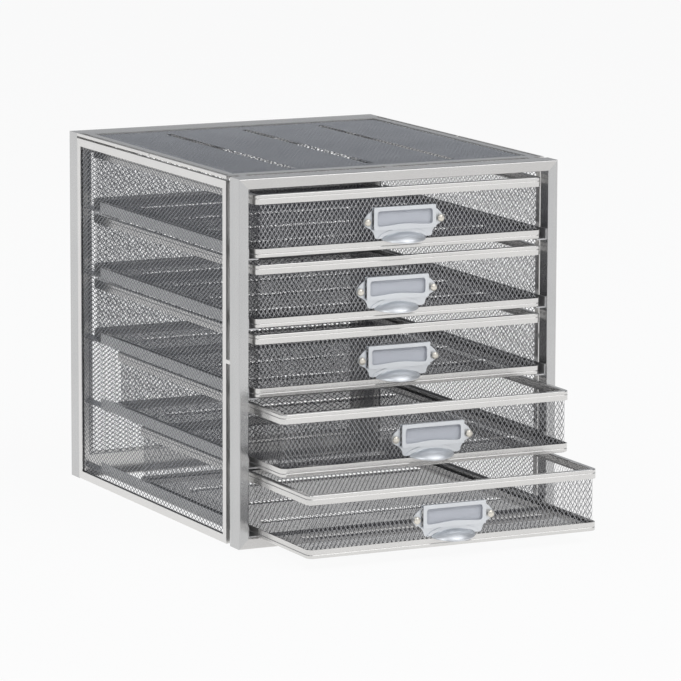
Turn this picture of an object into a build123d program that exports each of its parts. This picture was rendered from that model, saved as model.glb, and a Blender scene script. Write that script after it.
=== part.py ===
"""Desktop mini drawers: a steel mesh cabinet with five mesh drawers on angle runners.

Millimetres. While modelling, X = 0 is the cabinet's middle, Y = 0 its front face and Z = 0 the desk.
Every piece is then moved along Y alone, so that the origin lies under the middle of the whole part.
"""
from build123d import *
import os

os.makedirs("parts", exist_ok=True)

# ---------------------------------------------------------------- cabinet frames
cabinet_width = 264.0
cabinet_depth = 316.0
cabinet_height = 275.0
frame_sheet = 1.0  # steel sheet of both frames
front_face = 8.0  # width of the front frame's face
front_flange = 16.0  # depth of its outer flange
front_return = 12.0  # depth of the flange folded back round the drawer opening
rear_face = 8.0
rear_flange = 16.0
fold_radius = 0.9  # outer radius of the frames' folded edges

# ---------------------------------------------------------------- panels between the frames
panel_sheet = 0.8  # sheet of the panels' rims
mesh_sheet = 0.8  # thickness of the expanded metal
side_gap_front = 6.8  # slot between the front flange and the side panel
side_foot_gap = 0.5  # the side panels stand this much above the desk
side_top_gap = 1.6  # slot between a side panel and the top panel
side_rim_width = 6.0
side_rim_depth = 3.0
bridge_height = 3.0  # weld bridge across the slot in front of a side panel
top_gap_front = 6.0
top_rim_width = 10.0
top_lip_width = 1.4  # raised outer edge of the top panel, outside its gutter
top_gutter_width = 2.6
top_gutter_drop = 1.4
top_lip_break = 2.0  # the raised edge is in two lengths with this gap between them
top_lap = 2.0  # the top mesh reaches this far under its rim
top_bridge_width = 6.0  # weld bridges between the front flange and the top panel
top_bridge_inset = 12.0
bead_width = 5.0  # stiffening grooves pressed into the top mesh
bead_depth = 2.4
bead_count = 3
bead_end_gap = 28.0  # flat mesh between a groove's end and the panel's edge
back_rim_width = 10.0
back_lap = 3.0  # the back rim reaches this far behind the rear frame's face
back_mesh_lap = 3.0

# ---------------------------------------------------------------- runners
runner_sheet = 1.0
runner_ledge = 8.5  # width of the ledge that carries the drawer
runner_upright = 8.3  # height of the flange beside the drawer
runner_front_gap = 1.0  # from the inside of the front frame's face
runner_rear_cut = 39.4  # the upright stops this far before the back mesh, the ledge runs on to it

# ---------------------------------------------------------------- drawers
pulled_out = (0.0, 0.0, 0.0, 46.0, 90.0)  # how far each drawer stands open, top to bottom
drawer_side_gap = 5.0  # from the front frame's inner flange to a drawer
drawer_head_gap = 5.2  # from a drawer's top rim to the underside of the next one up
drawer_rear_gap = 11.4  # from a closed drawer to the back mesh
stack_head_room = 0.5  # what the stack of drawers leaves free of the frame's opening
seat_clearance = 0.3  # running gap between a drawer and its ledges
drawer_sheet = 0.8  # sheet of the drawer's rims
top_rim_height = 7.0
top_rim_thick = 4.2
bottom_rim_height = 6.6
bottom_rim_thick = 4.2
rim_inner_leg = 4.0
rim_radius = 0.7
rim_crease = 0.3  # depth of the crease along the outside of each drawer rim
rim_crease_width = 0.8
rim_crease_drop = 2.8  # from the rim's edge to its crease
rim_corner = 5.0  # radius to which the rims are bent round the drawer's corners
corner_play = 0.3  # between the floor's rounded corners and the walls
groove_count = 4  # stiffening grooves pressed across the drawer's floor
groove_pitch = 66.0
groove_width = 5.0
groove_depth = 2.6
groove_end_gap = 18.0  # flat floor between a groove's end and the wall

# ---------------------------------------------------------------- mesh gaps
cabinet_gap_width = 22.0
cabinet_gap_height = 27.0
wall_gap_width = 16.0
wall_gap_height = 17.0
floor_gap_width = 28.0
floor_gap_height = 24.0
bay_columns = 3  # gaps across each bay between the grooves of the top mesh
bay_margin = 0.6  # plain mesh between a groove and the nearest gap
cabinet_strand = 2.2
drawer_strand = 1.6

# ---------------------------------------------------------------- label holder with cup pull
plate_sheet = 0.8
plate_width = 52.0
plate_corner = 3.0
ear_reach = 7.0  # each ear stands out this far beside the plate
ear_height = 18.0
ear_tip = 5.0
plate_foot_gap = 1.6  # from the bottom rim to the plate's lower edge
plate_height = 23.7
holder_width = 51.4
holder_height = 17.3
holder_depth = 1.9
holder_window_width = 45.6
holder_window_height = 11.4
holder_window_radius = 2.0
card_width = 48.6
card_thick = 0.4
card_play = 0.1
card_cover = 1.4  # how far the card reaches under the holder's lower edge
cup_width = 39.0
cup_reach = 12.0
cup_rise = 5.7  # height of the cup where it meets the plate
cup_sheet = 0.8
cup_foot_gap = 0.7  # from the bottom rim to the cup's open lower edge
cup_flange = 2.0  # pressed band round the cup
cup_flange_sheet = 0.6
rivet_span = 60.5
rivet_drop = 2.2  # the rivets sit this far below the holder's middle
rivet_shank = 3.0
rivet_hole_play = 0.1
rivet_head = 5.6
rivet_rise = 1.7
half_turn = 180.0
quarter_turn = 90.0
pull_shift = (2.6, -3.1, -1.5, 3.4, -1.3)  # sideways place of each hand-fitted pull, top to bottom

# ---------------------------------------------------------------- sizes that follow
side_front = front_flange + side_gap_front
side_rear = cabinet_depth - rear_flange
top_front = front_flange + top_gap_front
top_under = cabinet_height - panel_sheet
side_top = cabinet_height - panel_sheet - top_gutter_drop - side_top_gap
top_length = side_rear - top_front
bead_length = top_length - 2 * bead_end_gap
opening_half = cabinet_width / 2 - front_face
back_outer_y = cabinet_depth - frame_sheet
runner_rear = back_outer_y - panel_sheet - mesh_sheet
drawer_count = len(pulled_out)
drawer_pitch = (cabinet_height - 2 * front_face - stack_head_room) / drawer_count
drawer_width = 2 * (opening_half - drawer_side_gap)
drawer_depth = runner_rear - drawer_rear_gap
drawer_height = drawer_pitch - drawer_head_gap
lowest_base = front_face + runner_sheet + seat_clearance
mesh_inset = (bottom_rim_thick - mesh_sheet) / 2  # the walls stand in the middle of the rims
plate_base = bottom_rim_height + plate_foot_gap
cup_lip = bottom_rim_height + cup_foot_gap
front_most = pulled_out[-1] + cup_reach + plate_sheet - mesh_inset
origin_y = (cabinet_depth - front_most) / 2


def save(node, solids):
    """Write one node, moved so that the origin lies under the middle of the part."""
    moved = [Pos(0, -origin_y, 0) * solid for solid in solids]
    for solid in moved:
        solid.label = node
    export_step(Compound(children=moved) if len(moved) > 1 else moved[0], f"parts/{node}.step")


def block(low, high):
    """A box between two opposite corners."""
    size = [high[axis] - low[axis] for axis in range(3)]
    middle = [(high[axis] + low[axis]) / 2 for axis in range(3)]
    return Pos(*middle) * Box(*size)


def outline(*points):
    return make_face(Polyline(*points, close=True))


def solids_of(shape):
    return list(shape.solids())


def channel(width, depth, back, sheet, radius):
    """Section of a folded channel: its face along u, its outer and inner flanges along v."""
    face = outline(
        (0, depth), (0, 0), (width, 0), (width, back), (width - sheet, back), (width - sheet, sheet),
        (sheet, sheet), (sheet, depth),
    )
    front = [v for v in face.vertices() if abs(v.Y) < radius]
    folds = [v for v in front if abs(v.X) < radius or v.X > width - sheet / 2]
    return fillet(folds, radius)


def creased(section, sheet):
    """The same section with a crease pressed along its outer flange."""
    low, high = rim_crease_drop - rim_crease_width / 2, rim_crease_drop + rim_crease_width / 2
    dent = outline((0, low), (rim_crease, rim_crease_drop), (0, high))
    swell = outline((sheet, low), (sheet + rim_crease, rim_crease_drop), (sheet, high))
    return section - dent + swell


def mitred_bar(length, section):
    """A bar along X with its outer edge on Y = 0, both ends cut at 45 degrees."""
    bar = Pos(-length / 2, 0, 0) * extrude(Plane.YZ * section, amount=length)
    reach = section.bounding_box().max.Y
    wedge = outline((-length / 2, 0), (length / 2, 0), (0, length / 2))
    return bar & extrude(wedge, amount=reach)


def bent_bar(length, section):
    """A bar along X with its outer edge on Y = 0, bent round the corner at its far end."""
    reach = length / 2 - rim_corner
    profile = Plane.YZ * section
    bar = Pos(-reach, 0, 0) * extrude(profile, amount=2 * reach)
    corner = revolve(Pos(reach, 0, 0) * profile, Axis((reach, rim_corner, 0), (0, 0, 1)), quarter_turn)
    return bar + corner


def ring(plane, width, height, make_bar, section, side_section=None):
    """Four bars round a rectangle centred on plane: bottom, top, left and right."""
    across = make_bar(width, section)
    upright = make_bar(height, side_section or section)
    places = (
        (Pos(0, -height / 2, 0), across),
        (Pos(0, height / 2, 0) * Rot(0, 0, half_turn), across),
        (Pos(-width / 2, 0, 0) * Rot(0, 0, -quarter_turn), upright),
        (Pos(width / 2, 0, 0) * Rot(0, 0, quarter_turn), upright),
    )
    return [plane * place * bar for place, bar in places]


def net(width, height, gap_width, gap_height, strand, grooves=(), groove=(0, 0), corner=0):
    """A holed face of staggered diamonds, plain along its border and along each upright groove.

    groove gives the grooves' width and length."""
    groove_half_w, groove_half_h = groove[0] / 2, groove[1] / 2
    half_w, half_h = (gap_width - strand) / 2, (gap_height - strand) / 2
    columns = int((width - strand) / gap_width)
    rows = int((height - strand) / gap_height)
    gaps = []
    for row in range(2 * rows - 1):
        staggered = row % 2
        y = (row - (rows - 1)) * gap_height / 2
        for column in range(columns - staggered):
            x = (column - (columns - 1 - staggered) / 2) * gap_width
            beside = any(abs(x - place) < half_w + groove_half_w for place in grooves)
            if beside and abs(y) < half_h + groove_half_h:
                continue
            corners = [(x - half_w, y), (x, y - half_h), (x + half_w, y), (x, y + half_h)]
            gaps.append(Wire.make_polygon(corners, close=True))
    border = RectangleRounded(width, height, corner) if corner else Rectangle(width, height)
    return Face(border.face().outer_wire(), gaps)


def bay_gaps(low, high, columns, rows, gap_height, strand):
    """Staggered diamond gaps that fill a bay from X = low to high, those at its sides cut off upright."""
    gap_width = (high - low + strand) / columns
    half_w, half_h = (gap_width - strand) / 2, (gap_height - strand) / 2
    cut_half_h = half_h * (1 - strand / 2 / half_w)
    gaps = []
    for row in range(2 * rows - 1):
        y = (row - (rows - 1)) * gap_height / 2
        staggered = row % 2
        if staggered:
            point = half_w - strand / 2
            gaps.append([(low, y - cut_half_h), (low + point, y), (low, y + cut_half_h)])
            gaps.append([(high, y - cut_half_h), (high, y + cut_half_h), (high - point, y)])
        for column in range(columns - staggered):
            x = (low + high) / 2 + (column - (columns - 1 - staggered) / 2) * gap_width
            gaps.append([(x - half_w, y), (x, y - half_h), (x + half_w, y), (x, y + half_h)])
    return [Wire.make_polygon(corners, close=True) for corners in gaps]


def sheet_on(plane, face, thick=mesh_sheet):
    """The face laid on a plane and thickened along the plane's normal."""
    return plane * extrude(face, amount=thick)


def groove_in(sheet, place, width, depth, length):
    """The sheet with one V groove pressed down into its upper face at a place, along the place's Y."""
    section = outline(
        (-width / 2, 0), (0, -depth), (width / 2, 0), (width / 2, -mesh_sheet),
        (0, -depth - mesh_sheet), (-width / 2, -mesh_sheet),
    )
    slot = Pos(0, 0, -mesh_sheet / 2) * Box(width, length, mesh_sheet)
    fold = extrude(Plane((0, length / 2, 0), x_dir=(1, 0, 0), z_dir=(0, -1, 0)) * section, amount=length)
    return sheet - place * slot + place * fold


# ================================================================ cabinet frames
frame_names = ("bottom_rail", "top_rail", "left_stile", "right_stile")
frame_middle_z = cabinet_height / 2
front_plane = Plane((0, 0, frame_middle_z), x_dir=(-1, 0, 0), z_dir=(0, 1, 0))
front_section = channel(front_face, front_flange, front_return, frame_sheet, fold_radius)
front_bars = ring(front_plane, cabinet_width, cabinet_height, mitred_bar, front_section)
for name, bar in zip(("bottom_rail", "top_rail", "right_stile", "left_stile"), front_bars):
    save(f"front_{name}", solids_of(bar))

rear_plane = Plane((0, cabinet_depth, frame_middle_z), x_dir=(1, 0, 0), z_dir=(0, -1, 0))
rear_corner = outline(
    (0, rear_flange), (0, 0), (rear_face, 0), (rear_face, frame_sheet), (frame_sheet, frame_sheet),
    (frame_sheet, rear_flange),
)
rear_folds = [v for v in rear_corner.vertices() if abs(v.X) + abs(v.Y) < frame_sheet / 2]
rear_section = fillet(rear_folds, fold_radius)
for name, bar in zip(frame_names, ring(rear_plane, cabinet_width, cabinet_height, mitred_bar, rear_section)):
    save(f"rear_{name}", solids_of(bar))

# ================================================================ side panels
side_length = side_rear - side_front
side_height = side_top - side_foot_gap
side_middle_y = (side_front + side_rear) / 2
side_middle_z = (side_top + side_foot_gap) / 2
side_net = net(
    side_length - 2 * panel_sheet, side_height - 2 * panel_sheet, cabinet_gap_width, cabinet_gap_height,
    cabinet_strand,
)
side_mesh_inset = (side_rim_depth - mesh_sheet) / 2


def turn_rim(width, depth, sheet):
    """Section of a rim folded round a mesh edge: the fold lies outwards, at u = 0."""
    return outline(
        (0, 0), (width, 0), (width, sheet), (sheet, sheet), (sheet, depth - sheet), (width, depth - sheet),
        (width, depth), (0, depth),
    )


side_rim_section = turn_rim(side_rim_width, side_rim_depth, panel_sheet)
for name, sign in (("left", -1), ("right", 1)):
    face_x = sign * cabinet_width / 2
    plane = Plane((face_x, side_middle_y, side_middle_z), x_dir=(0, -sign, 0), z_dir=(-sign, 0, 0))
    rim = ring(plane, side_length, side_height, mitred_bar, side_rim_section)
    bridge = block(
        (min(face_x, face_x - sign * panel_sheet), front_flange, frame_middle_z - bridge_height / 2),
        (max(face_x, face_x - sign * panel_sheet), side_front, frame_middle_z + bridge_height / 2),
    )
    save(f"{name}_side_rim", [s for bar in rim for s in solids_of(bar)] + solids_of(bridge))
    mesh_place = (face_x - sign * side_mesh_inset, side_middle_y, side_middle_z)
    mesh_plane = Plane(mesh_place, x_dir=(0, -sign, 0), z_dir=(-sign, 0, 0))
    save(f"{name}_side_mesh", solids_of(sheet_on(mesh_plane, side_net)))

# ================================================================ top panel
top_middle_y = (side_rear + top_front) / 2
top_plane = Plane((0, top_middle_y, cabinet_height), x_dir=(1, 0, 0), z_dir=(0, 0, -1))
flat_band = outline((0, 0), (top_rim_width, 0), (top_rim_width, panel_sheet), (0, panel_sheet))
gutter_end = top_lip_width + top_gutter_width
gutter_band = outline(
    (0, 0), (top_lip_width, 0), (top_lip_width, top_gutter_drop), (gutter_end, top_gutter_drop),
    (gutter_end, 0), (top_rim_width, 0), (top_rim_width, panel_sheet),
    (gutter_end + panel_sheet, panel_sheet), (gutter_end + panel_sheet, top_gutter_drop + panel_sheet),
    (0, top_gutter_drop + panel_sheet),
)
top_bars = ring(top_plane, cabinet_width, top_length, mitred_bar, flat_band, gutter_band)
lip_cut = block(
    (-cabinet_width, top_middle_y - top_lip_break / 2, cabinet_height - top_gutter_drop),
    (cabinet_width, top_middle_y + top_lip_break / 2, cabinet_height),
) - block(
    (gutter_end - cabinet_width / 2, top_front, cabinet_height - top_gutter_drop),
    (cabinet_width / 2 - gutter_end, side_rear, cabinet_height),
)
top_bars = [bar - lip_cut for bar in top_bars]
bridge_reach = cabinet_width / 2 - top_bridge_inset
bridges = [
    block(
        (place - top_bridge_width / 2, front_flange, top_under),
        (place + top_bridge_width / 2, top_front, cabinet_height),
    )
    for place in (-bridge_reach, 0, bridge_reach)
]
save("top_rim", [s for piece in top_bars + bridges for s in solids_of(piece)])

bead_pitch = cabinet_width / (bead_count + 1)
bead_places = [(step - (bead_count - 1) / 2) * bead_pitch for step in range(bead_count)]
top_mesh_width = cabinet_width - 2 * (top_rim_width - top_lap)
top_mesh_length = top_length - 2 * (top_rim_width - top_lap)
top_clear = cabinet_width - 2 * top_rim_width
bay_lows = [-top_clear / 2] + [place + bead_width / 2 + bay_margin for place in bead_places]
bay_highs = [place - bead_width / 2 - bay_margin for place in bead_places] + [top_clear / 2]
top_rows = int((top_mesh_length - 2 * top_lap - cabinet_strand) / cabinet_gap_height)
top_gaps = []
for low, high in zip(bay_lows, bay_highs):
    top_gaps += bay_gaps(low, high, bay_columns, top_rows, cabinet_gap_height, cabinet_strand)
top_net = Face(Rectangle(top_mesh_width, top_mesh_length).face().outer_wire(), top_gaps)
top_mesh = sheet_on(Plane((0, top_middle_y, top_under - mesh_sheet)), top_net)
for place in bead_places:
    top_mesh = groove_in(top_mesh, Pos(place, top_middle_y, top_under), bead_width, bead_depth, bead_length)
save("top_mesh", solids_of(top_mesh))

# ================================================================ back panel
back_width = cabinet_width - 2 * (rear_face - back_lap)
back_height = cabinet_height - 2 * (rear_face - back_lap)
back_plane = Plane((0, back_outer_y, frame_middle_z), x_dir=(1, 0, 0), z_dir=(0, -1, 0))
back_band_width = back_rim_width + back_lap
back_band = outline((0, 0), (back_band_width, 0), (back_band_width, panel_sheet), (0, panel_sheet))
back_bars = ring(back_plane, back_width, back_height, mitred_bar, back_band)
save("back_rim", [s for bar in back_bars for s in solids_of(bar)])

back_mesh_width = back_width - 2 * (back_band_width - back_mesh_lap)
back_mesh_height = back_height - 2 * (back_band_width - back_mesh_lap)
back_net = net(back_mesh_width, back_mesh_height, cabinet_gap_width, cabinet_gap_height, cabinet_strand)
back_mesh_plane = Plane((0, back_outer_y - panel_sheet, frame_middle_z), x_dir=(1, 0, 0), z_dir=(0, -1, 0))
save("back_mesh", solids_of(sheet_on(back_mesh_plane, back_net)))

# ================================================================ runners
runner_front = frame_sheet + runner_front_gap


def runner(sign, ledge_top):
    """An angle with its ledge under the drawer and its upright against the front frame's inner flange."""
    wall = sign * opening_half
    ledge_x = sorted((wall, wall - sign * runner_ledge))
    upright_x = sorted((wall, wall - sign * runner_sheet))
    ledge = block((ledge_x[0], runner_front, ledge_top - runner_sheet), (ledge_x[1], runner_rear, ledge_top))
    upright = block(
        (upright_x[0], runner_front, ledge_top),
        (upright_x[1], runner_rear - runner_rear_cut, ledge_top + runner_upright - runner_sheet),
    )
    return ledge + upright


# ================================================================ drawers
top_rim_section = creased(
    channel(top_rim_thick, top_rim_height, rim_inner_leg, drawer_sheet, rim_radius), drawer_sheet
)
bottom_rim_section = creased(
    channel(bottom_rim_thick, bottom_rim_height, rim_inner_leg, drawer_sheet, rim_radius), drawer_sheet
)
wall_height = drawer_height - 2 * drawer_sheet
wall_middle_z = drawer_height / 2
floor_level = rim_inner_leg
floor_width = drawer_width - 2 * (mesh_inset + mesh_sheet)
floor_depth = drawer_depth - 2 * (mesh_inset + mesh_sheet)
front_wall_width = drawer_width - 2 * rim_corner
side_wall_length = drawer_depth - 2 * rim_corner
wall_corner = rim_corner - mesh_inset


def wall_corners(sign):
    """The mesh bent round the two corners of the front (-1) or the back wall (1), plain there."""
    middle_y = drawer_depth / 2 + sign * side_wall_length / 2
    bent = Circle(wall_corner) - Circle(wall_corner - mesh_sheet)
    square = Rectangle(wall_corner, wall_corner)
    corners = []
    for side in (-1, 1):
        quarter = bent & Pos(side * wall_corner / 2, sign * wall_corner / 2) * square
        place = Pos(side * front_wall_width / 2, middle_y, drawer_sheet)
        corners.append(place * extrude(quarter, amount=wall_height))
    return corners


def drawer_basket():
    """Floor and four walls of expanded metal, standing in the two rims."""
    drawer_middle = drawer_depth / 2
    front_net = net(front_wall_width, wall_height, wall_gap_width, wall_gap_height, drawer_strand)
    side_wall_net = net(side_wall_length, wall_height, wall_gap_width, wall_gap_height, drawer_strand)
    groove_length = floor_width - 2 * groove_end_gap
    groove_places = [(step - (groove_count - 1) / 2) * groove_pitch for step in range(groove_count)]
    floor_net = net(
        floor_depth, floor_width, floor_gap_width, floor_gap_height, drawer_strand,
        groove_places, (groove_width, groove_length),
        wall_corner - mesh_sheet + corner_play,
    )
    floor = sheet_on(Plane((0, drawer_middle, floor_level), x_dir=(0, 1, 0)), floor_net)
    for place in groove_places:
        across = Pos(0, drawer_middle + place, floor_level + mesh_sheet) * Rot(0, 0, quarter_turn)
        floor = groove_in(floor, across, groove_width, groove_depth, groove_length)
    front = sheet_on(Plane((0, mesh_inset, wall_middle_z), x_dir=(-1, 0, 0), z_dir=(0, 1, 0)), front_net)
    back = sheet_on(
        Plane((0, drawer_depth - mesh_inset, wall_middle_z), x_dir=(1, 0, 0), z_dir=(0, -1, 0)), front_net
    )
    walls = [floor]
    for wall, sign in ((front, -1), (back, 1)):
        for corner in wall_corners(sign):
            wall = wall + corner
        walls.append(wall)
    for sign in (-1, 1):
        place = (sign * (drawer_width / 2 - mesh_inset), drawer_middle, wall_middle_z)
        walls.append(sheet_on(Plane(place, x_dir=(0, -sign, 0), z_dir=(-sign, 0, 0)), side_wall_net))
    return [s for wall in walls for s in solids_of(wall)]


# ================================================================ label holder with cup pull
plate_front = mesh_inset - plate_sheet  # the plate lies on the mesh, so its face is just behind the rims
holder_middle_z = plate_base + plate_height - holder_height / 2
rivet_z = holder_middle_z - rivet_drop
holder_top = plate_base + plate_height
window_base = holder_middle_z - holder_window_height / 2
card_base = window_base - card_cover
slot_depth = card_thick + 2 * card_play


def upright_face(face, y, thick):
    """A face drawn in X and Z, laid at depth y and thickened towards the front."""
    return Plane((0, y, 0), x_dir=(1, 0, 0), z_dir=(0, -1, 0)) * extrude(face, amount=thick)


def pull_body():
    """One pressed plate with ears, a raised label holder and a half-round cup, open downwards."""
    half = plate_width / 2
    tip = half + ear_reach
    ear_top, ear_low = rivet_z + ear_height / 2, rivet_z - ear_height / 2
    right = [
        (half - plate_corner, plate_base), (half, plate_base + plate_corner), (half, ear_low),
        (tip, rivet_z - ear_tip / 2), (tip, rivet_z + ear_tip / 2), (half, ear_top), (half, holder_top),
    ]
    left = [(-x, z) for x, z in reversed(right)]
    body = upright_face(outline(*right, *left), mesh_inset, plate_sheet)
    holes = [
        upright_face(Pos(x, rivet_z) * Circle(rivet_shank / 2 + rivet_hole_play), mesh_inset, plate_sheet)
        for x in (-rivet_span / 2, rivet_span / 2)
    ]
    frame_shape = Pos(0, holder_middle_z) * Rectangle(holder_width, holder_height)
    window_shape = RectangleRounded(holder_window_width, holder_window_height, holder_window_radius)
    frame = upright_face(frame_shape, plate_front, holder_depth)
    window = upright_face(Pos(0, holder_middle_z) * window_shape, plate_front, holder_depth)
    slot = block(
        (-card_width / 2 - card_play, plate_front - slot_depth, card_base),
        (card_width / 2 + card_play, plate_front, holder_top),
    )
    body = body + (frame - window - slot)
    for hole in holes:
        body = body - hole
    return body + cup_shell()


def cup_shell():
    """A flattened dome cut by the plate, with a pressed band round it."""
    radius = ((cup_width / 2) ** 2 + cup_reach**2) / (2 * cup_reach)
    set_back = radius - cup_reach
    rise = cup_rise / (1 - (set_back / radius) ** 2) ** 0.5
    lip_plane = Plane((0, plate_front + set_back, cup_lip), x_dir=(1, 0, 0), z_dir=(0, -1, 0))

    def dome(r, h):
        arc = EllipticalCenterArc((0, 0), r, h, arc_size=quarter_turn)
        quarter = make_face([Line((0, 0), (r, 0)), arc, Line((0, h), (0, 0))])
        return revolve(lip_plane * quarter, Axis((0, plate_front + set_back, 0), (0, 0, 1)))

    shell = dome(radius, rise) - dome(radius - cup_sheet, rise - cup_sheet)
    before = block((-cup_width, plate_front - 2 * cup_reach, 0), (cup_width, plate_front, drawer_height))
    band_width, band_rise = cup_width / 2 + cup_flange, cup_rise + cup_flange
    arch = make_face(
        [
            Line((-band_width, 0), (band_width, 0)),
            EllipticalCenterArc((0, 0), band_width, band_rise, arc_size=half_turn),
        ]
    )
    hole = make_face(
        [
            Line((-cup_width / 2 + cup_sheet, 0), (cup_width / 2 - cup_sheet, 0)),
            EllipticalCenterArc((0, 0), cup_width / 2 - cup_sheet, cup_rise - cup_sheet, arc_size=half_turn),
        ]
    )
    band = upright_face(Pos(0, cup_lip) * (arch - hole), plate_front, cup_flange_sheet)
    band = band & block((-plate_width, -cup_reach, plate_base), (plate_width, drawer_depth, drawer_height))
    return (shell & before) + band


def rivets():
    """Two domed rivets through the ears, their heads in front and their shanks ending on the mesh."""
    sphere = ((rivet_head / 2) ** 2 + rivet_rise**2) / (2 * rivet_rise)
    pieces = []
    for x in (-rivet_span / 2, rivet_span / 2):
        head = Pos(x, plate_front - rivet_rise + sphere, rivet_z) * Sphere(sphere)
        head = head & block(
            (x - rivet_head, plate_front - rivet_rise, rivet_z - rivet_head),
            (x + rivet_head, plate_front, rivet_z + rivet_head),
        )
        shank = upright_face(Pos(x, rivet_z) * Circle(rivet_shank / 2), mesh_inset, plate_sheet)
        pieces += solids_of(head + shank)
    return pieces


def label_card():
    """A bare card in the holder's slot."""
    return block(
        (-card_width / 2, plate_front - card_play - card_thick, card_base),
        (card_width / 2, plate_front - card_play, holder_top),
    )


top_rim_plane = Plane((0, drawer_depth / 2, drawer_height), x_dir=(1, 0, 0), z_dir=(0, 0, -1))
bottom_rim_plane = Plane((0, drawer_depth / 2, 0))
top_rim_bars = ring(top_rim_plane, drawer_width, drawer_depth, bent_bar, top_rim_section)
bottom_rim_bars = ring(bottom_rim_plane, drawer_width, drawer_depth, bent_bar, bottom_rim_section)
basket = drawer_basket()
pull = pull_body()
rivet_pair = rivets()
card = label_card()

for index in range(drawer_count):
    number = index + 1
    base = lowest_base + (drawer_count - number) * drawer_pitch
    at = Pos(0, -pulled_out[index], base)
    at_pull = at * Pos(pull_shift[index], 0, 0)
    save(f"drawer_{number}_basket", [at * wall for wall in basket])
    save(f"drawer_{number}_top_rim", [at * s for bar in top_rim_bars for s in solids_of(bar)])
    save(f"drawer_{number}_bottom_rim", [at * s for bar in bottom_rim_bars for s in solids_of(bar)])
    save(f"drawer_{number}_pull", solids_of(at_pull * pull))
    save(f"drawer_{number}_rivets", [at_pull * rivet for rivet in rivet_pair])
    save(f"drawer_{number}_label_card", [at_pull * card])
    for name, sign in (("left", -1), ("right", 1)):
        save(f"runner_{number}_{name}", solids_of(runner(sign, base - seat_clearance)))

print("origin y", round(origin_y, 3), "front-most", round(front_most, 3))
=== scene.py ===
"""The looks of the desktop mini drawers: a steel mesh cabinet with five mesh drawers, in metres."""
import math

import bmesh
import bpy
from mathutils import Matrix, Vector


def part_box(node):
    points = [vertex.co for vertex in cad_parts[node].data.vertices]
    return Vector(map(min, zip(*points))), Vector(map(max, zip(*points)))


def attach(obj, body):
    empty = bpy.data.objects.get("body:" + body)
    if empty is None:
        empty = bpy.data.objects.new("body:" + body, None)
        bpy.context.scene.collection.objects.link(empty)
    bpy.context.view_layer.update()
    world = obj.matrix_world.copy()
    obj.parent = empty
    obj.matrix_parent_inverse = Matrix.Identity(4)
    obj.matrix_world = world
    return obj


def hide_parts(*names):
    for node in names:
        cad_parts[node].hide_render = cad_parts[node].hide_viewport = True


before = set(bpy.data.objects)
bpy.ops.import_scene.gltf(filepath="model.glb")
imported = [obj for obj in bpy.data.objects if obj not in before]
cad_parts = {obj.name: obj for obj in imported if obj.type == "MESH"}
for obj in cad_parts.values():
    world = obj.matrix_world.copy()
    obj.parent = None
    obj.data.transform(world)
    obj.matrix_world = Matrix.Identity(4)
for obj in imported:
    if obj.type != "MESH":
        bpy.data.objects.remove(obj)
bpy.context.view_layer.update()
bpy.ops.object.select_all(action="DESELECT")

# ---------------------------------------------------------------- camera
# A long lens looks from the left front, a little above the top panel. The aim point is near the middle
# of the cabinet, and the offset sets it in the picture.
view_lens = 249.46  # on a 36 mm sensor
view_turn = math.radians(26.21)
view_dip = math.radians(9.63)
view_roll = math.radians(0.185)
view_distance = 3.639
view_aim = Vector((0.0, 0.04255, 0.14))
view_offset = Vector((-0.0218, 0.0158, 0.0))  # where the aim point lies from the picture's middle
view_reach = 60

look = (
    Matrix.Rotation(-view_turn, 4, "Z")
    @ Matrix.Rotation(math.pi / 2 - view_dip, 4, "X")
    @ Matrix.Rotation(view_roll, 4, "Z")
)
bpy.ops.object.camera_add()
camera = bpy.context.object
camera.name = "camera"
camera.data.lens = view_lens
camera.data.clip_end = view_reach
view_back = Vector((0, 0, view_distance)) - view_offset
camera.matrix_world = Matrix.Translation(view_aim) @ look @ Matrix.Translation(view_back)
bpy.context.scene.camera = camera
bpy.context.scene.view_settings.view_transform = "Standard"

# ---------------------------------------------------------------- floor and light
# A white floor as far as the view reaches, a sky that darkens overhead as in a studio with a low
# white backdrop, and four large soft lamps.
floor_side = 40
floor_white = (0.9, 0.9, 0.9, 1)
floor_glow_share = 0.93  # how much of the floor's white, where it is seen, doesn't depend on the lamps
sky_stops = ((0.0, (1.0, 1.0, 1.0, 1)), (0.16, (0.80, 0.82, 0.85, 1)), (0.5, (0.30, 0.32, 0.36, 1)))
sky_strength = 0.55
lamps = (  # name, place, side and power
    ("key_lamp", Vector((-1.9, -2.0, 2.2)), 1.2, 18),
    ("front_lamp", Vector((0.9, -2.9, 1.9)), 2.2, 20),
    ("back_lamp", Vector((-0.9, 1.1, 2.7)), 2.2, 13),
    ("top_lamp", Vector((0.9, -1.5, 2.6)), 2.6, 24),
)
lamp_aim = Vector((0, 0, 0.12))

bpy.ops.mesh.primitive_plane_add(size=floor_side)
floor = bpy.context.object
floor.name = "floor"

paper_white = bpy.data.materials.new("paper_white")
paper_white.use_nodes = True
tree = paper_white.node_tree
tree.nodes.clear()
lit = tree.nodes.new("ShaderNodeBsdfDiffuse")
lit.inputs["Color"].default_value = floor_white
glow = tree.nodes.new("ShaderNodeEmission")
seen = tree.nodes.new("ShaderNodeLightPath")
seen_or_mirrored = tree.nodes.new("ShaderNodeMath")
seen_or_mirrored.operation = "MAXIMUM"
shown = tree.nodes.new("ShaderNodeMath")
shown.operation = "MAXIMUM"
share = tree.nodes.new("ShaderNodeMath")
share.operation = "MULTIPLY"
share.inputs[1].default_value = floor_glow_share
mix = tree.nodes.new("ShaderNodeMixShader")
out = tree.nodes.new("ShaderNodeOutputMaterial")
tree.links.new(seen.outputs["Is Camera Ray"], seen_or_mirrored.inputs[0])
tree.links.new(seen.outputs["Is Glossy Ray"], seen_or_mirrored.inputs[1])
tree.links.new(seen_or_mirrored.outputs[0], shown.inputs[0])
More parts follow.
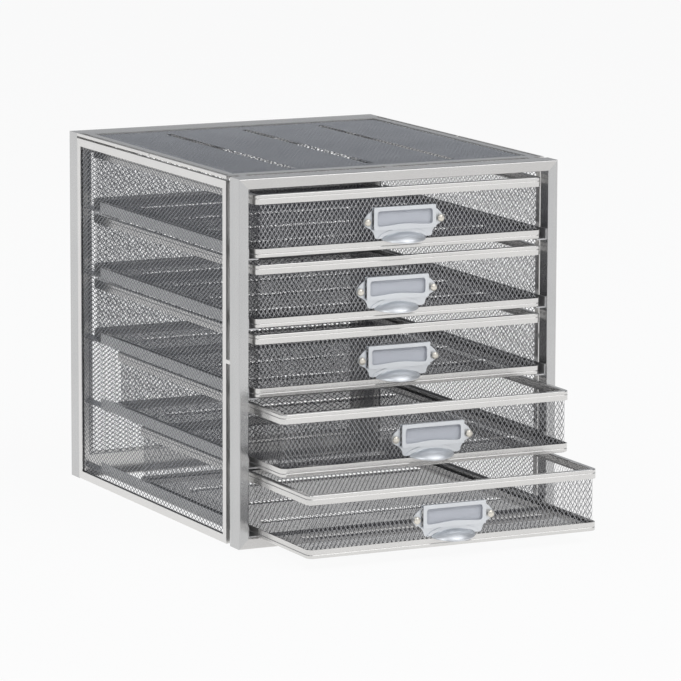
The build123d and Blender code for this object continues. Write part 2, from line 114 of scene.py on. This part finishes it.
tree.links.new(seen.outputs["Is Transmission Ray"], shown.inputs[1])
tree.links.new(shown.outputs[0], share.inputs[0])
tree.links.new(share.outputs[0], mix.inputs["Fac"])
tree.links.new(lit.outputs[0], mix.inputs[1])
tree.links.new(glow.outputs[0], mix.inputs[2])
tree.links.new(mix.outputs[0], out.inputs["Surface"])
floor.data.materials.append(paper_white)

world = bpy.data.worlds.new("studio")
bpy.context.scene.world = world
world.use_nodes = True
tree = world.node_tree
direction = tree.nodes.new("ShaderNodeTexCoord")
height = tree.nodes.new("ShaderNodeSeparateXYZ")
sky = tree.nodes.new("ShaderNodeValToRGB")
tree.links.new(direction.outputs["Generated"], height.inputs[0])
tree.links.new(height.outputs["Z"], sky.inputs["Fac"])
tree.links.new(sky.outputs["Color"], tree.nodes["Background"].inputs["Color"])
tree.nodes["Background"].inputs["Strength"].default_value = sky_strength
while len(sky.color_ramp.elements) < len(sky_stops):
    sky.color_ramp.elements.new(1.0)
for stop, (place, colour) in zip(sky.color_ramp.elements, sky_stops):
    stop.position = place
    stop.color = colour

for name, place, side, power in lamps:
    bpy.ops.object.light_add(type="AREA", location=place)
    lamp = bpy.context.object
    lamp.name = name
    lamp.data.size = side
    lamp.data.energy = power
    lamp.rotation_euler = (lamp_aim - place).to_track_quat("-Z", "Y").to_euler()


# ---------------------------------------------------------------- frames, panel rims and runners
# Folded steel strip, mitred and welded at the corners, then sprayed with silver lacquer.
# The stiles get a darker copy of the rails' lacquer: painted shade, which also shows the mitred corners.
drawer_count = 5
lacquer_metal = 0.9  # how metallic the silver lacquer looks
patch_size = 1 / 22  # of the lacquer's soft patches of tone
patch_detail = 3.0
grain_detail = 2.0
grain_roughness = 0.06  # how far the grain takes the roughness up and down
grain_strength = 0.12
grain_height = 0.0002


def lacquered_steel(name, light, shade, roughness, grain_size):
    """Silver lacquer over rolled strip: soft patches, fine grain and a trace of orange peel."""
    finish = bpy.data.materials.new(name)
    finish.use_nodes = True
    tree = finish.node_tree
    shader = tree.nodes["Principled BSDF"]
    shader.inputs["Metallic"].default_value = lacquer_metal
    place = tree.nodes.new("ShaderNodeTexCoord")
    patches = tree.nodes.new("ShaderNodeTexNoise")
    patches.inputs["Scale"].default_value = 1 / patch_size
    patches.inputs["Detail"].default_value = patch_detail
    tones = tree.nodes.new("ShaderNodeMix")
    tones.data_type = "RGBA"
    tones.inputs["A"].default_value = (*shade, 1)
    tones.inputs["B"].default_value = (*light, 1)
    grain = tree.nodes.new("ShaderNodeTexNoise")
    grain.inputs["Scale"].default_value = 1.0 / grain_size
    grain.inputs["Detail"].default_value = grain_detail
    rough = tree.nodes.new("ShaderNodeMapRange")
    rough.inputs["To Min"].default_value = roughness - grain_roughness
    rough.inputs["To Max"].default_value = roughness + grain_roughness
    bump = tree.nodes.new("ShaderNodeBump")
    bump.inputs["Strength"].default_value = grain_strength
    bump.inputs["Distance"].default_value = grain_height
    tree.links.new(place.outputs["Object"], patches.inputs["Vector"])
    tree.links.new(place.outputs["Object"], grain.inputs["Vector"])
    tree.links.new(patches.outputs["Fac"], tones.inputs["Factor"])
    tree.links.new(tones.outputs["Result"], shader.inputs["Base Color"])
    tree.links.new(grain.outputs["Fac"], rough.inputs["Value"])
    tree.links.new(rough.outputs["Result"], shader.inputs["Roughness"])
    tree.links.new(grain.outputs["Fac"], bump.inputs["Height"])
    tree.links.new(bump.outputs["Normal"], shader.inputs["Normal"])
    return finish


def dress(node, finish):
    """Give a node of the construction its finish."""
    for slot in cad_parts[node].material_slots:
        slot.material = finish


rail_finish = lacquered_steel(
    "rail_lacquer", light=(0.67, 0.66, 0.65), shade=(0.59, 0.58, 0.57), roughness=0.2, grain_size=0.0007
)
# painted shade: the stiles' copy of the lacquer is darker than the rails'
stile_painted_shade_finish = lacquered_steel(
    "stile_lacquer_painted_shade", light=(0.60, 0.60, 0.60), shade=(0.53, 0.53, 0.53), roughness=0.2, grain_size=0.0007
)
for end in ("front", "rear"):
    dress(f"{end}_bottom_rail", rail_finish)
    dress(f"{end}_top_rail", rail_finish)
    dress(f"{end}_left_stile", stile_painted_shade_finish)
    dress(f"{end}_right_stile", stile_painted_shade_finish)

rim_finish = lacquered_steel(
    "panel_rim_lacquer", light=(0.84, 0.83, 0.81), shade=(0.74, 0.73, 0.72), roughness=0.3, grain_size=0.0006
)
for rim in ("left_side_rim", "right_side_rim", "top_rim", "back_rim"):
    dress(rim, rim_finish)

runner_finish = lacquered_steel(
    "runner_lacquer", light=(0.66, 0.66, 0.66), shade=(0.55, 0.55, 0.56), roughness=0.42, grain_size=0.0006
)
for number in range(1, drawer_count + 1):
    for side in ("left", "right"):
        dress(f"runner_{number}_{side}", runner_finish)

# ---------------------------------------------------------------- side panels
# Expanded metal: sheet slit in staggered rows and pulled open, so that every strand lies a little
# aslant. Fine diamonds, their long way along the cabinet, sprayed with the same silver lacquer.
cell_long = 0.0058
cell_short = 0.0036
strand_width = 0.00052
panel_rise = 0.00024  # each strand's ridge stands this far out of a panel or a floor on both faces
wall_rise = 0.00008  # the drawers' walls are rolled flatter
strand_tilt = 0.00010  # how far the opened slits leave a strand's edges out of the sheet
weld_reach = 0.00001  # points nearer than this are one
crossing_play = 0.02  # how near a point is to a crossing, in steps of the net, to be the crossing
corner_play = 0.05  # and how near to the line between two crossings to be a diamond's blunt corner


def choose(piece, kind, wanted):
    """Select in edit mode the vertices, edges or faces that the test wants."""
    bpy.ops.mesh.select_mode(type=kind)
    bpy.ops.mesh.select_all(action="DESELECT")
    shape = bmesh.from_edit_mesh(piece.data)
    for part in {"VERT": shape.verts, "EDGE": shape.edges, "FACE": shape.faces}[kind]:
        if wanted(part):
            part.select_set(True)
    bmesh.update_edit_mesh(piece.data)


def expanded_metal(name, across, along, rise):
    """A flat net on X and Y, the long way of its diamonds along Y, with a ridge along each strand."""
    columns = round(across / cell_short)
    rows = round(along / cell_long)
    step_x = across / columns / 2
    step_y = along / rows / 2
    bpy.ops.object.select_all(action="DESELECT")
    bpy.ops.mesh.primitive_grid_add(x_subdivisions=columns, y_subdivisions=rows, size=1)
    net = bpy.context.object
    net.name = name
    net.scale = (across, along, 1)
    bpy.ops.object.transform_apply(location=False, rotation=False, scale=True)

    def on_border(point):
        return abs(abs(point.x) - across / 2) < weld_reach or abs(abs(point.y) - along / 2) < weld_reach

    def is_slit(edge):
        start, end = edge.verts[0].co, edge.verts[1].co
        straight = abs(start.x - end.x) < weld_reach or abs(start.y - end.y) < weld_reach
        return straight and not on_border((start + end) / 2)

    def lattice_offset(point):
        """How far a point lies from the nearest crossing of strands, in steps of the lattice."""
        u, v = (point.x + across / 2) / step_x, (point.y + along / 2) / step_y
        return u - round(u), v - round(v)

    def is_crossing(vertex):
        return max(map(abs, lattice_offset(vertex.co))) < crossing_play and not on_border(vertex.co)

    def slit_edge(vertex, side):
        """A diamond's blunt corner, on the given side of its crossing."""
        u, v = lattice_offset(vertex.co)
        return u * side > corner_play and abs(v) < corner_play and not on_border(vertex.co)

    # The sheet is split into diamonds, and what an inset leaves of each one is its strands.
    bpy.ops.object.mode_set(mode="EDIT")
    bpy.ops.mesh.select_all(action="SELECT")
    bpy.ops.mesh.poke()
    choose(net, "EDGE", is_slit)
    bpy.ops.mesh.dissolve_edges(use_verts=False)
    bpy.ops.mesh.select_mode(type="FACE")
    bpy.ops.mesh.select_all(action="SELECT")
    bpy.ops.mesh.inset(thickness=strand_width / 2, use_individual=True)
    bpy.ops.mesh.delete(type="FACE")
    # The crossings rise to ridges, the other face mirrors them, and the slits' edges part.
    choose(net, "VERT", is_crossing)
    bpy.ops.transform.translate(value=(0, 0, rise))
    bpy.ops.mesh.select_all(action="SELECT")
    bpy.ops.mesh.duplicate()
    bpy.ops.mesh.flip_normals()
    bpy.ops.transform.resize(value=(1, 1, -1), center_override=(0, 0, 0))
    bpy.ops.mesh.select_all(action="SELECT")
    bpy.ops.mesh.remove_doubles(threshold=weld_reach)
    for side in (-1, 1):
        choose(net, "VERT", lambda vertex: slit_edge(vertex, side))
        bpy.ops.transform.translate(value=(0, 0, side * strand_tilt))
    bpy.ops.object.mode_set(mode="OBJECT")
    return net


def lay(piece, place):
    """Put a piece in its place, the place going into its mesh."""
    piece.data.transform(place)
    piece.data.update()


def copy_of(piece, name):
    """A copy with its own mesh."""
    twin = piece.copy()
    twin.data = piece.data.copy()
    twin.name = name
    bpy.context.scene.collection.objects.link(twin)
    return twin


def finish_piece(piece, finish, slot, body, *stands_for):
    """Give a new piece its finish and fix it to its body; its record slot is not used."""
    piece.data.materials.clear()
    piece.data.materials.append(finish)
    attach(piece, body)
    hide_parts(*stands_for)


net_light, net_shade = (0.33, 0.34, 0.36), (0.25, 0.26, 0.28)
cabinet_mesh_finish = lacquered_steel(
    "cabinet_mesh_lacquer", light=net_light, shade=net_shade, roughness=0.22, grain_size=0.0005
)
low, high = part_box("left_side_mesh")
side_net = expanded_metal("left_side_net", high.z - low.z, high.y - low.y, panel_rise)
upright_lengthways = Matrix(((0, 0, -1, 0), (0, 1, 0, 0), (1, 0, 0, 0), (0, 0, 0, 1)))
lay(side_net, Matrix.Translation((low + high) / 2) @ upright_lengthways)
low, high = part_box("right_side_mesh")
right_net = copy_of(side_net, "right_side_net")
lay(right_net, Matrix.Translation((low.x + high.x, 0, 0)))
finish_piece(side_net, cabinet_mesh_finish, "cabinet_mesh", "cabinet", "left_side_mesh")
finish_piece(right_net, cabinet_mesh_finish, "cabinet_mesh", "cabinet", "right_side_mesh")

# ---------------------------------------------------------------- top panel
# The same expanded metal, spot-welded into its rim and stiffened by three grooves pressed into it from
# front to back.
bead_count = 3
bead_half_width = 0.0025
bead_depth = 0.0024
bead_end_gap = 0.020  # flat mesh between a groove's end and the net's edge
sheet_thickness = 0.0008


def press_groove(net, middle, reach, half_width, depth):
    """Press a V groove into a flat net along Y, at X = middle, as far as reach from the net's middle."""
    for vertex in net.data.vertices:
        share = 1 - abs(vertex.co.x - middle) / half_width
        if share > 0 and abs(vertex.co.y) < reach:
            vertex.co.z -= depth * share
    net.data.update()


low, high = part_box("top_mesh")
top_net = expanded_metal("top_net", high.x - low.x, high.y - low.y, panel_rise)
panel_low, panel_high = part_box("top_rim")
bead_pitch = (panel_high.x - panel_low.x) / (bead_count + 1)
for step in range(bead_count):
    bead_place = (step - (bead_count - 1) / 2) * bead_pitch
    press_groove(top_net, bead_place, (high.y - low.y) / 2 - bead_end_gap, bead_half_width, bead_depth)
top_level = high.z - sheet_thickness / 2
lay(top_net, Matrix.Translation(((low.x + high.x) / 2, (low.y + high.y) / 2, top_level)))
finish_piece(top_net, cabinet_mesh_finish, "cabinet_mesh", "cabinet", "top_mesh")

# ---------------------------------------------------------------- back panel
# The same expanded metal, spot-welded into a flat rim, with the long way of its diamonds across the
# cabinet.
low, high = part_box("back_mesh")
back_net = expanded_metal("back_net", high.z - low.z, high.x - low.x, panel_rise)
crossways = Matrix(((0, 1, 0, 0), (0, 0, 1, 0), (1, 0, 0, 0), (0, 0, 0, 1)))
lay(back_net, Matrix.Translation((low + high) / 2) @ crossways)
finish_piece(back_net, cabinet_mesh_finish, "cabinet_mesh", "cabinet", "back_mesh")

# ---------------------------------------------------------------- drawer baskets
# One strip of expanded metal is bent round the drawer's rounded corners and welded at the back, and
# a floor with pressed cross grooves lies between the walls. Both rims are folded strip.
drawers = [f"drawer_{number}" for number in range(1, drawer_count + 1)]
wall_corner = 0.0029  # radius of the strip's middle at each corner
floor_above_base = 0.0036  # from the basket's underside to the middle of the floor's sheet
groove_count = 4
groove_pitch = 0.066
groove_half_width = 0.0025
groove_depth = 0.0026
groove_end_gap = 0.018


def ahead(heading):
    """One step along a heading."""
    return Vector((math.cos(heading), math.sin(heading)))


def outward(heading):
    """One step out of the drawer from a wall that runs along a heading."""
    return Vector((math.sin(heading), -math.cos(heading)))


def bend_round(strip, width, depth):
    """Bend an upright strip, its length along X from 0, once round a rounded rectangle."""
    quarter = wall_corner * math.pi / 2
    half_back = width / 2 - wall_corner
    side_run, front_run = depth - 2 * wall_corner, width - 2 * wall_corner
    runs = []
    point, heading, start = Vector((0, depth)), math.pi, 0.0
    for run in (half_back, side_run, front_run, side_run, half_back):
        runs.append((start, run, point.copy(), heading))
        next_heading = heading + math.pi / 2
        point += run * ahead(heading)
        point += wall_corner * (outward(next_heading) - outward(heading))
        heading = next_heading
        start += run + quarter
    for vertex in strip.data.vertices:
        along, out = vertex.co.x, -vertex.co.y
        start, run, origin, heading = [r for r in runs if along >= r[0] - weld_reach][-1]
        past = along - start - run
        if past <= 0:
            spot = origin + ahead(heading) * (along - start) + outward(heading) * out
        else:
            angle = past / wall_corner
            centre = origin + ahead(heading) * run - outward(heading) * wall_corner
            towards = outward(heading) * math.cos(angle) + ahead(heading) * math.sin(angle)
            spot = centre + (wall_corner + out) * towards
        vertex.co.x, vertex.co.y = spot
    strip.data.update()


wall_light, wall_shade = (0.38, 0.38, 0.39), (0.29, 0.29, 0.30)
wall_finish = lacquered_steel(
    "drawer_wall_lacquer", light=wall_light, shade=wall_shade, roughness=0.18, grain_size=0.0005
)
# painted shade: the floors take the walls' lacquer made far darker, for the shade inside the drawers
floor_painted_shade_light, floor_painted_shade_dark = (0.08, 0.08, 0.09), (0.05, 0.05, 0.06)
floor_painted_shade_finish = lacquered_steel(
    "drawer_floor_painted_shade", light=floor_painted_shade_light, shade=floor_painted_shade_dark, roughness=0.26, grain_size=0.0005
)
low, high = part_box("drawer_1_basket")
wall_width = high.x - low.x - sheet_thickness
wall_depth = high.y - low.y - sheet_thickness
wall_height = high.z - low.z
strip_length = 2 * (wall_width + wall_depth) - (8 - 2 * math.pi) * wall_corner
walls = expanded_metal("drawer_1_walls", strip_length, wall_height, wall_rise)
lay(walls, Matrix.Translation((strip_length / 2, 0, 0)) @ Matrix.Rotation(math.pi / 2, 4, "X"))
bend_round(walls, wall_width, wall_depth)
bpy.ops.object.mode_set(mode="EDIT")
bpy.ops.mesh.select_all(action="SELECT")
bpy.ops.mesh.remove_doubles(threshold=weld_reach)
bpy.ops.object.mode_set(mode="OBJECT")
lay(walls, Matrix.Translation((0, low.y + sheet_thickness / 2, (low.z + high.z) / 2)))

floor_width, floor_depth = wall_width - sheet_thickness, wall_depth - sheet_thickness
basket_floor = expanded_metal("drawer_1_floor", floor_width, floor_depth, panel_rise)
floor_turn = Matrix.Rotation(math.pi / 2, 4, "Z")
lay(basket_floor, floor_turn)
for step in range(groove_count):
    place = (step - (groove_count - 1) / 2) * groove_pitch
    press_groove(basket_floor, place, wall_width / 2 - groove_end_gap, groove_half_width, groove_depth)
lay(basket_floor, floor_turn.inverted())
lay(basket_floor, Matrix.Translation((0, (low.y + high.y) / 2, low.z + floor_above_base)))
for drawer in drawers[1:]:
    shift = Matrix.Translation(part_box(f"{drawer}_basket")[0] - low)
    for net, part, finish in ((walls, "walls", wall_finish), (basket_floor, "floor", floor_painted_shade_finish)):
        twin = copy_of(net, f"{drawer}_{part}")
        lay(twin, shift)
        finish_piece(twin, finish, "drawer_mesh", drawer, f"{drawer}_basket")
finish_piece(walls, wall_finish, "drawer_mesh", "drawer_1", "drawer_1_basket")
finish_piece(basket_floor, floor_painted_shade_finish, "drawer_mesh", "drawer_1", "drawer_1_basket")

drawer_rim_finish = lacquered_steel(
    "drawer_rim_lacquer", light=(0.78, 0.77, 0.75), shade=(0.68, 0.67, 0.66), roughness=0.2, grain_size=0.0006
)
for drawer in drawers:
    dress(f"{drawer}_top_rim", drawer_rim_finish)
    dress(f"{drawer}_bottom_rim", drawer_rim_finish)

# ---------------------------------------------------------------- pulls
# Each drawer has a plate pressed from steel and nickel-plated, riveted on by its two ears. On it are a
# label frame folded forward over a bare card, and a scoop with a flat band round it for the fingers.
# Sizes run from the plate's back, the middle of its width and the level of the scoop's lip.
plate_thick = 0.0008
edge_rounding = 0.00015
plate_points = (  # the plate's right half from its top corner down, and whether the edge is smooth there
    (0.0258, 0.0246, "VECTOR"),
    (0.0258, 0.0224, "VECTOR"),
    (0.0318, 0.0170, "AUTO"),
    (0.0330, 0.0142, "AUTO"),
    (0.0318, 0.0112, "AUTO"),
    (0.0268, 0.0078, "AUTO"),
    (0.0244, 0.0046, "AUTO"),
    (0.0234, 0.0016, "AUTO"),
    (0.0222, 0.0009, "VECTOR"),
)
slot_place = 0.0251  # the label frame's ends stand over two upright slots in the plate
slot_width = 0.0018
slot_height = 0.0138
slot_middle = 0.0155
slot_corner = 0.0006
label_frame_width = 0.0514
label_frame_height = 0.0173
label_frame_corner = 0.0007
label_frame_front = 0.0038  # from the plate's back to the frame's face
label_frame_sheet = 0.0007
label_middle = 0.01595
outline_corner_steps = 6
outline_bulge_steps = 16
arch_steps = 32
window_width = 0.0456
window_height = 0.0114
window_corner = 0.0021
window_bulge = 0.0013  # the window's lower edge rises this much in the middle
band_half_width = 0.0215
band_rise = 0.0077
band_thick = 0.0007
scoop_radius = 0.02184
scoop_rise = 0.0085
scoop_set_back = 0.00984  # the scoop's middle lies this far behind the plate's face
scoop_droop = 0.0022  # its lip's front hangs this far below its ends
scoop_sheet = 0.0008
scoop_segments = 96
lip_rounding = 0.0002
lip_angle = math.radians(50)  # the scoop's edges sharper than this are rounded
crease_angle = math.radians(35)  # faces that meet at less than this are shaded as one
rivet_place = 0.03025
rivet_level = 0.01375
rivet_radius = 0.0028
rivet_skirt = 0.0020
rivet_dome = 0.0014
rivet_segments = 32
rivet_waist = 0.5  # the head narrows to this share of its width at the plate
card_inset = 0.0008
card_colour = (0.64, 0.66, 0.71, 1)
card_roughness = 0.8


def rounded_rectangle(width, height, middle, radius, bulge=0.0):
    """Points of a rectangle's edge with round corners; its lower edge may rise in the middle."""
    points = []
    for quarter, (side, level) in enumerate(((1, 1), (-1, 1), (-1, -1), (1, -1))):
        for step in range(outline_corner_steps + 1):
            turn = (quarter + step / outline_corner_steps) * math.pi / 2
            x = side * (width / 2 - radius) + radius * math.cos(turn)
            z = middle + level * (height / 2 - radius) + radius * math.sin(turn)
            points.append((x, z, "VECTOR"))
        if (side, level) == (-1, -1):  # the lower edge follows
            for step in range(1, outline_bulge_steps):
                x = (step / outline_bulge_steps - 0.5) * (width - 2 * radius)
                z = middle - height / 2 + bulge * math.cos(math.pi * x / (width - 2 * radius)) ** 2
                points.append((x, z, "VECTOR"))
    return points


def half_ellipse(half_width, rise, backwards=False):
    """Points of an arch that stands on the level of the lip."""
    steps = range(arch_steps + 1)
    angles = [math.pi * step / arch_steps for step in (reversed(steps) if backwards else steps)]
    return [(half_width * math.cos(angle), rise * math.sin(angle), "VECTOR") for angle in angles]


def flat_plate(name, loops, thick, front):
    """A plate cut out along closed loops of points, its edges rounded and its face at Y = -front."""
    shape = bpy.data.curves.new(name, "CURVE")
    shape.dimensions = "2D"
    shape.fill_mode = "BOTH"
    shape.extrude = thick / 2 - edge_rounding
    shape.bevel_depth = edge_rounding
    shape.bevel_resolution = 1
    shape.offset = -edge_rounding
    shape.resolution_u = 8
    for loop in loops:
        spline = shape.splines.new("BEZIER")
        spline.bezier_points.add(len(loop) - 1)
        spline.use_cyclic_u = True
        for point, (x, z, handle) in zip(spline.bezier_points, loop):
            point.co = (x, z, 0)
            point.handle_left_type = point.handle_right_type = handle
    plate = bpy.data.objects.new(name, shape)
    bpy.context.scene.collection.objects.link(plate)
    bpy.ops.object.select_all(action="DESELECT")
    plate.select_set(True)
    bpy.context.view_layer.objects.active = plate
    bpy.ops.object.convert(target="MESH")
    lay(plate, Matrix.Translation((0, thick / 2 - front, 0)) @ Matrix.Rotation(math.pi / 2, 4, "X"))
    return plate


def block(name, low, high):
    """A box between two opposite corners."""
    bpy.ops.mesh.primitive_cube_add(size=1, location=(Vector(low) + Vector(high)) / 2)
    box = bpy.context.object
    box.name = name
    box.scale = Vector(high) - Vector(low)
    bpy.ops.object.transform_apply(location=True, rotation=False, scale=True)
    return box


def joined(name, pieces):
    """One object made of several."""
    bpy.ops.object.select_all(action="DESELECT")
    for piece in pieces:
        piece.select_set(True)
    bpy.context.view_layer.objects.active = pieces[0]
    bpy.ops.object.join()
    pieces[0].name = name
    return pieces[0]


def round_off(piece):
    """Shade a piece smooth, but for its creases."""
    bpy.ops.object.select_all(action="DESELECT")
    piece.select_set(True)
    bpy.context.view_layer.objects.active = piece
    bpy.ops.object.shade_smooth_by_angle(angle=crease_angle)


left_half = [(-x, z, handle) for x, z, handle in reversed(plate_points)]
slot_loop = rounded_rectangle(slot_width, slot_height, slot_middle, slot_corner)
right_slot = [(x + slot_place, z, handle) for x, z, handle in slot_loop]
left_slot = [(-x, z, handle) for x, z, handle in right_slot]
plate_loops = [list(plate_points) + left_half, left_slot, right_slot]
plate = flat_plate("plate", plate_loops, plate_thick, plate_thick)
frame_loop = rounded_rectangle(label_frame_width, label_frame_height, label_middle, label_frame_corner)
window_loop = rounded_rectangle(window_width, window_height, label_middle, window_corner, window_bulge)
label_frame = flat_plate("label_frame", [frame_loop, window_loop], label_frame_sheet, label_frame_front)
frame_half = label_frame_width / 2 - label_frame_corner
frame_back = label_frame_sheet / 2 - label_frame_front
frame_top = label_middle + label_frame_height / 2
frame_foot = label_middle - label_frame_height / 2
folds = []
for fold_name, fold_foot in (("upper_fold", frame_top - label_frame_sheet), ("lower_fold", frame_foot)):
    fold_low = (-frame_half, frame_back, fold_foot)
    fold_high = (frame_half, -plate_thick / 2, fold_foot + label_frame_sheet)
    folds.append(block(fold_name, fold_low, fold_high))
scoop_at_plate = math.sqrt(1 - (scoop_set_back / scoop_radius) ** 2)
inner_width = scoop_at_plate * scoop_radius
inner_rise = scoop_rise * scoop_at_plate - scoop_droop
arch = half_ellipse(band_half_width, band_rise)
arch += half_ellipse(inner_width - scoop_sheet, inner_rise - scoop_sheet, backwards=True)
band = flat_plate("band", [arch], band_thick, plate_thick + band_thick)
band_foot = plate_points[-1][1]
bpy.ops.object.mode_set(mode="EDIT")
bpy.ops.mesh.select_all(action="SELECT")
bpy.ops.mesh.bisect(plane_co=(0, 0, band_foot), plane_no=(0, 0, 1), clear_inner=True, use_fill=True)
bpy.ops.object.mode_set(mode="OBJECT")

bpy.ops.object.select_all(action="DESELECT")
bpy.ops.mesh.primitive_uv_sphere_add(segments=scoop_segments, ring_count=scoop_segments // 2, radius=1)
scoop = bpy.context.object
scoop.scale = (scoop_radius, scoop_radius, scoop_rise)
scoop.location = (0, scoop_set_back - plate_thick, -scoop_droop)
bpy.ops.object.transform_apply(location=True, rotation=False, scale=True)
lip_fall = scoop_droop / (scoop_radius - scoop_set_back)  # the lip's slope from its ends to its front
bpy.ops.object.mode_set(mode="EDIT")
bpy.ops.mesh.select_all(action="SELECT")
bpy.ops.mesh.bisect(plane_co=(0, -plate_thick, 0), plane_no=(0, 1, 0), clear_outer=True)
bpy.ops.mesh.select_all(action="SELECT")
bpy.ops.mesh.bisect(plane_co=(0, -plate_thick, 0), plane_no=(0, -lip_fall, 1), clear_inner=True)
bpy.ops.object.mode_set(mode="OBJECT")
wall = scoop.modifiers.new("wall", "SOLIDIFY")
wall.thickness = scoop_sheet
wall.offset = -1
rounding = scoop.modifiers.new("rounding", "BEVEL")
rounding.width = lip_rounding
rounding.segments = 2
rounding.limit_method = "ANGLE"
rounding.angle_limit = lip_angle
for modifier in ("wall", "rounding"):
    bpy.ops.object.modifier_apply(modifier=modifier)

pull = joined("drawer_1_pull_plate", [plate, label_frame, band, scoop, *folds])
round_off(pull)

bpy.ops.object.select_all(action="DESELECT")
bpy.ops.mesh.primitive_uv_sphere_add(
    segments=rivet_segments, ring_count=rivet_segments // 2, radius=rivet_radius, rotation=(math.pi / 2, 0, 0)
)
rivet_head = bpy.context.object
rivet_head.scale.z = rivet_dome / rivet_radius
bpy.ops.object.transform_apply(location=False, rotation=True, scale=True)
bpy.ops.object.mode_set(mode="EDIT")
bpy.ops.mesh.select_all(action="SELECT")
bpy.ops.mesh.bisect(plane_co=(0, 0, 0), plane_no=(0, 1, 0), clear_outer=True)
bpy.ops.mesh.extrude_region_move(TRANSFORM_OT_translate={"value": (0, rivet_skirt, 0)})
bpy.ops.transform.resize(value=(rivet_waist, 1, rivet_waist), center_override=(0, rivet_skirt, 0))
bpy.ops.mesh.edge_face_add()
bpy.ops.object.mode_set(mode="OBJECT")
other_head = copy_of(rivet_head, "other_rivet")
lay(rivet_head, Matrix.Translation((rivet_place, -plate_thick - rivet_skirt, rivet_level)))
lay(other_head, Matrix.Translation((-rivet_place, -plate_thick - rivet_skirt, rivet_level)))
rivets = joined("drawer_1_rivet_heads", [rivet_head, other_head])
round_off(rivets)

pull_finish = lacquered_steel(
    "pull_plating", light=(0.82, 0.84, 0.86), shade=(0.74, 0.76, 0.79), roughness=0.42, grain_size=0.0004
)
rivet_finish = lacquered_steel(
    "rivet_plating", light=(0.86, 0.82, 0.74), shade=(0.74, 0.70, 0.62), roughness=0.3, grain_size=0.0004
)
card_finish = bpy.data.materials.new("card_paper")
card_finish.use_nodes = True
paper = card_finish.node_tree.nodes["Principled BSDF"]
paper.inputs["Base Color"].default_value = card_colour
paper.inputs["Roughness"].default_value = card_roughness
for drawer in drawers:
    low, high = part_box(f"{drawer}_pull")
    place = Matrix.Translation(((low.x + high.x) / 2, high.y, low.z))
    shown_pull = copy_of(pull, f"{drawer}_pull_shown")
    lay(shown_pull, place)
    finish_piece(shown_pull, pull_finish, "pull_plate", drawer, f"{drawer}_pull")
    shown_rivets = copy_of(rivets, f"{drawer}_rivets_shown")
    lay(shown_rivets, place)
    finish_piece(shown_rivets, rivet_finish, "rivet", drawer, f"{drawer}_rivets")
    low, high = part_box(f"{drawer}_label_card")
    card = block(f"{drawer}_card", low, high - Vector((0, 0, card_inset)))
    finish_piece(card, card_finish, "card", drawer, f"{drawer}_label_card")
bpy.data.objects.remove(pull)
bpy.data.objects.remove(rivets)
